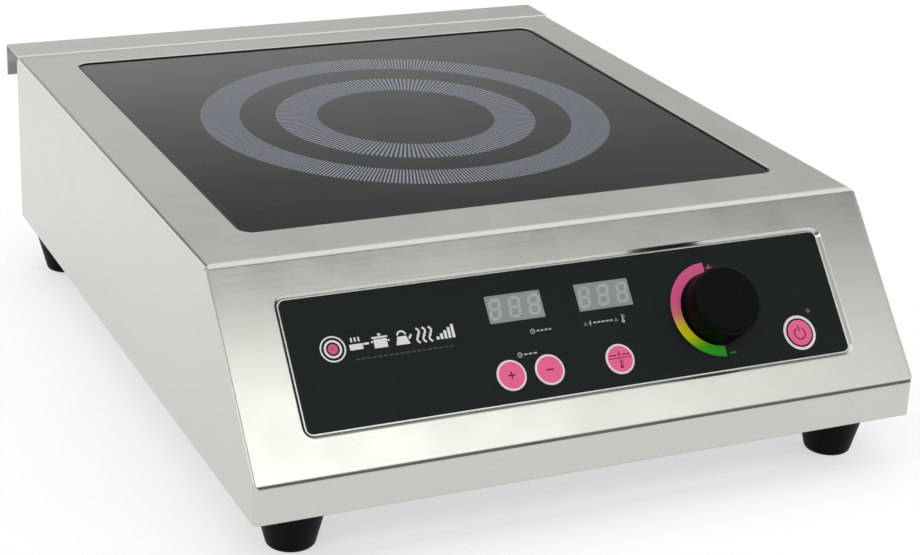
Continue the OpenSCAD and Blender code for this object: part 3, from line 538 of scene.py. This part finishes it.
def key_marks():
    """White rims and dark symbols of the keys. They move with the keys."""
    white = ink("rim_ink", srgb(228, 220, 224), 0.4)
    dark = ink("symbol_ink", srgb(96, 14, 48), 0.4)
    radius = {}
    for key in ("plus_key", "minus_key", "mode_key", "power_key"):
        low, high, _ = node_box(key)
        radius[key] = (high.x - low.x) / 2
    for key in ("plus_key", "minus_key", "mode_key"):
        bm = bmesh.new()
        edge_band(bm, radius[key], 0.95 * MM)
        piece(key + "_rim", bm, key, white, on_slope(key))
    bm = bmesh.new()
    cross(bm, 0, 0, 3.4 * MM, 0.65 * MM)
    piece("plus_key_symbol", bm, "plus_key", dark, on_slope("plus_key"))
    bm = bmesh.new()
    bar(bm, (-1.8 * MM, 0), (1.8 * MM, 0), 0.65 * MM)
    piece("minus_key_symbol", bm, "minus_key", dark, on_slope("minus_key"))

    bm = bmesh.new()
    bar(bm, (-5.8 * MM, 0.5 * MM), (5.8 * MM, 0.5 * MM), 0.35 * MM)
    dashes(bm, -4.9 * MM, 1.9 * MM, 2, 1.3 * MM, 1.9 * MM)
    bolt(bm, 0, 2.3 * MM, 3.0 * MM)
    dashes(bm, 1.7 * MM, 1.9 * MM, 2, 1.3 * MM, 1.9 * MM)
    thermometer(bm, 0, -2.4 * MM, 4.0 * MM)
    piece("mode_key_symbol", bm, "mode_key", dark, on_slope("mode_key"))

    bm = bmesh.new()
    arc(bm, (0, -0.4 * MM), 2.55 * MM, 3.1 * MM, 118, 422, steps=48)
    bar(bm, (0, 0.7 * MM), (0, 3.6 * MM), 0.5 * MM)
    piece("power_key_symbol", bm, "power_key", dark, on_slope("power_key"))

    bm = bmesh.new()
    edge_band(bm, radius["power_key"], 0.34 * MM)
    black = ink("edge_ink", srgb(12, 14, 15), 0.5)
    piece("power_key_rim", bm, "power_key", black, on_slope("power_key"))

    on_film = on_slope("power_key")
    on_film.translation += NORMAL * (level("control_film", NORMAL) - level("power_key", NORMAL))
    bm = bmesh.new()
    arc(bm, (0, 0), radius["power_key"] + 0.45 * MM, radius["power_key"] + 1.8 * MM, 0, 360, steps=72)
    piece("power_key_ring", bm, "chassis", white, on_film)


def bolt(bm, x, y, size):
    """Lightning mark."""
    w = size / 2
    for k in (1, -1):
        plate(bm, [(x + 0.3 * w * k, y + w * k), (x - 0.5 * w * k, y), (x + 0.15 * w * k, y)])


def thermometer(bm, x, y, size):
    """Thermometer mark: a bulb and a stem with two ticks."""
    r = 0.2 * size
    arc(bm, (x, y - size / 2 + r), 0.3 * r, r, 0, 360, steps=20)
    bar(bm, (x, y - size / 2 + 2 * r), (x, y + size / 2), 0.14 * size)
    for k in (0.15, 0.38):
        bar(bm, (x + 0.12 * size, y + k * size), (x + 0.32 * size, y + k * size), 0.08 * size)


def film_marks():
    """Plain pictograms beside the displays and keys, and the row at the left end of the film."""
    pale = ink("mark_ink", srgb(172, 178, 176), 0.4)
    dim = ink("dim_ink", srgb(92, 99, 98), 0.4)
    bright = ink("row_ink", srgb(224, 220, 224), 0.4)
    flat = on_slope("control_film")

    def place(node):
        offset = node_box(node)[2] - flat.translation
        return offset.dot(ACROSS), offset.dot(UP_SLOPE)

    left_x, display_y = place("left_display")
    right_x = place("right_display")[0]
    plus_x, key_y = place("plus_key")
    between_keys = (plus_x + place("minus_key")[0]) / 2
    label_y = display_y - 12.3 * MM
    key_label_y = key_y + 8.3 * MM
    bm = bmesh.new()
    clock(bm, left_x + 5.4 * MM, label_y, 1.2 * MM)
    dashes(bm, left_x + 7.4 * MM, label_y, 4, 1.3 * MM, 1.95 * MM)
    clock(bm, between_keys - 3.0 * MM, key_label_y, 1.2 * MM)
    dashes(bm, between_keys - 1.0 * MM, key_label_y, 3, 1.6 * MM, 2.35 * MM)
    bolt(bm, right_x - 10.2 * MM, label_y, 3.0 * MM)
    dashes(bm, right_x - 8.6 * MM, label_y, 5, 1.5 * MM, 2.05 * MM)
    thermometer(bm, right_x + 6.3 * MM, label_y, 4.0 * MM)
    piece("film_labels", bm, "chassis", pale, flat)

    bm = bmesh.new()
    for x in (right_x - 12.6 * MM, right_x + 2.9 * MM):
        r = 1.2 * MM
        plate(bm, [(x - r, label_y - 0.8 * r), (x + r, label_y - 0.8 * r), (x, label_y + 0.9 * r)])
    piece("film_pointers", bm, "chassis", dim, flat)

    bm = bmesh.new()
    x, y = -115.5 * MM, 5.5 * MM
    arc(bm, (x, y), 3.1 * MM, 4.1 * MM, 0, 360, steps=48)
    arc(bm, (x, y), 5.2 * MM, 5.9 * MM, 0, 360, steps=60)
    pictogram_row(bm, -103.7 * MM, 6.4 * MM, 10.2 * MM)
    piece("film_pictograms", bm, "chassis", bright, flat)

    bm = bmesh.new()
    arc(bm, (x, y), 0.3 * MM, 2.3 * MM, 0, 360, steps=40)
    piece("film_burner", bm, "chassis", ink("burner_ink", srgb(214, 86, 132)), flat)

    bm = bmesh.new()
    dashes(bm, -106.5 * MM, -0.5 * MM, 18, 1.9 * MM, 2.6 * MM)
    piece("film_underline", bm, "chassis", ink("underline_ink", srgb(62, 68, 68)), flat)


def clock(bm, x, y, r):
    """Clock mark: a ring with two hands."""
    arc(bm, (x, y), 0.72 * r, r, 0, 360, steps=28)
    bar(bm, (x, y + 0.12 * r), (x, y + 0.6 * r), 0.24 * r)
    bar(bm, (x - 0.12 * r, y), (x + 0.45 * r, y), 0.24 * r)


def dashes(bm, x, y, count, length, pitch):
    """Row of dashes, where words would stand."""
    for i in range(count):
        bar(bm, (x + i * pitch, y), (x + i * pitch + length, y), 0.7 * MM)


def blocks(bm, x, y, boxes):
    """Upright rectangles, given in millimetres as left, right, low and high."""
    for left, right, low, high in boxes:
        plate(bm, [(x + left * MM, y + low * MM), (x + right * MM, y + low * MM),
                   (x + right * MM, y + high * MM), (x + left * MM, y + high * MM)])


def pictogram_row(bm, x, y, pitch):
    """Frying pan, pot, kettle, rising heat and power steps, in plain solid shapes."""
    blocks(bm, x, y, [(-4.2, 2.0, -2.6, 0.0), (2.3, 4.9, -0.9, 0.0),
                      (-3.2, -2.4, 1.0, 3.0), (-1.5, -0.7, 1.0, 3.0), (0.2, 1.0, 1.0, 3.0)])
    x += pitch
    blocks(bm, x, y, [(-3.1, 3.1, -3.2, 0.8), (-3.7, 3.7, 1.2, 2.0), (-0.7, 0.7, 2.3, 3.3),
                      (-4.3, -3.4, -0.6, 0.2), (3.4, 4.3, -0.6, 0.2)])
    x += pitch
    body = [(-3.3, -3.2), (3.3, -3.2), (2.1, 0.6), (-2.1, 0.6)]
    plate(bm, [(x + a * MM, y + b * MM) for a, b in body])
    arc(bm, (x, y + 1.0 * MM), 1.5 * MM, 2.3 * MM, 5, 175, steps=20)
    bar(bm, (x + 3.2 * MM, y - 0.9 * MM), (x + 4.5 * MM, y + 0.9 * MM), 0.9 * MM)
    x += pitch
    for column in (-2.9, 0, 2.9):
        base = x + column * MM
        arc(bm, (base - 0.6 * MM, y + 1.6 * MM), 1.2 * MM, 2.1 * MM, -75, 75, steps=16)
        arc(bm, (base + 1.2 * MM, y - 1.8 * MM), 1.2 * MM, 2.1 * MM, 105, 255, steps=16)
    x += pitch
    blocks(bm, x, y, [(-4.6 + 1.9 * i, -3.3 + 1.9 * i, -3.2, -1.8 + 1.2 * i) for i in range(5)])


def digits(node, face):
    """Unlit seven-segment figures behind a display's window."""
    low, high, _ = node_box(node)
    width = high.x - low.x
    bm = bmesh.new()
    pitch = width * 0.32
    tall, wide, thick, gap = 8.6 * MM, 4.5 * MM, 1.4 * MM, 0.12 * MM
    lean = 0.14

    def segment(a, b):
        a, b = Vector(a), Vector(b)
        along = (b - a).normalized()
        side = along.orthogonal() * thick / 2
        a += along * gap
        b -= along * gap
        tip = along * thick / 2
        outline = [a, a + tip - side, b - tip - side, b, b - tip + side, a + tip + side]
        plate(bm, [(p.x + p.y * lean + x, p.y) for p in outline])

    for x in (-pitch, 0, pitch):
        half = wide / 2
        top, middle, bottom = tall / 2, 0, -tall / 2
        for y in (top, middle, bottom):
            segment((-half, y), (half, y))
        for side in (-half, half):
            segment((side, bottom), (side, middle))
            segment((side, middle), (side, top))
    piece(node + "_digits", bm, "chassis", face, on_slope(node))


# ---------------------------------------------------------------- camera, floor and light

def camera():
    """Viewing angle of a person standing at the front left."""
    data = bpy.data.cameras.new("camera")
    data.lens = 84.843
    data.sensor_width = 36
    data.clip_end = 60
    thing = bpy.data.objects.new("camera", data)
    forward = Vector((0.39729, 0.84006, -0.36939)).normalized()
    roll = math.radians(2.49)
    turn = forward.to_track_quat("-Z", "Y").to_matrix() @ Matrix.Rotation(roll, 3, "Z")
    thing.rotation_euler = turn.to_euler()
    thing.location = (-0.42984, -0.96241, 0.45539)
    bpy.context.scene.collection.objects.link(thing)
    bpy.context.scene.camera = thing


def floor():
    """Pale round floor under the feet. It glows a little, so that it stays light near the hob."""
    radius = 9
    bm = bmesh.new()
    bmesh.ops.create_circle(bm, cap_ends=True, segments=96, radius=radius)
    mesh = bpy.data.meshes.new("floor")
    bm.to_mesh(mesh)
    bm.free()
    g = Graph("floor_paint")
    dust = g.noise(3.0, 3.0, 0.5)
    tone = g.mix(g.span(dust, 0.3, 0.7), (0.40, 0.40, 0.40, 1), (0.44, 0.44, 0.44, 1))
    mesh.materials.append(g.finish(Base_Color=tone, Roughness=0.9, Emission_Color=(1, 1, 1, 1),
                                   Emission_Strength=0.57))
    thing = bpy.data.objects.new("floor", mesh)
    bpy.context.scene.collection.objects.link(thing)


def studio():
    """Pale room: a soft box in front, a long one overhead, a bright low wall behind.

    A direction's `ahead` and `across` are its Y and X over its height, so each box is flat above.
    """
    lowest = 0.02
    world = bpy.data.worlds.new("studio")
    world.use_nodes = True
    bpy.context.scene.world = world
    t = Tree(world.node_tree)
    height = t.axis("Generated", "Z")
    ahead = t.math("DIVIDE", t.axis("Generated", "Y"), t.math("MAXIMUM", height, lowest))
    across = t.math("DIVIDE", t.axis("Generated", "X"), t.math("MAXIMUM", height, lowest))
    front_box = t.math("MULTIPLY", t.step(ahead, -0.628, -0.662), t.step(ahead, -1.6, -1.1))
    front_box = t.math("MULTIPLY", front_box, t.span(across, 0.4, 0.85, 2.05, 0.98))
    overhead = t.math("MULTIPLY", t.step(ahead, -0.54, -0.2), t.step(ahead, 2.0, 1.3))
    overhead = t.math("MULTIPLY", overhead, 1.12)
    wall = t.math("MULTIPLY", t.step(height, 0.37, 0.22), t.step(ahead, 1.0, 2.2))
    wall = t.math("MULTIPLY", wall, t.span(t.axis("Generated", "X"), 0.25, 0.5, 1.12, 0.48))
    everywhere = 0.15
    light = t.math("ADD", t.math("ADD", front_box, overhead), t.math("ADD", wall, everywhere))
    background = t.nodes["Background"]
    background.inputs["Color"].default_value = (0.99, 1.0, 0.985, 1)
    t.put(background.inputs["Strength"], light)
    bpy.context.scene.view_settings.view_transform = "Standard"
    bpy.context.scene.view_settings.look = "None"


# ---------------------------------------------------------------- the hob

camera()
floor()
studio()
dress_cad()
cooking_zone()
power_scale()
key_marks()
film_marks()
segment_ink = film("segment_face", srgb(163, 170, 167), 0.40)
digits("left_display", segment_ink)
digits("right_display", segment_ink)
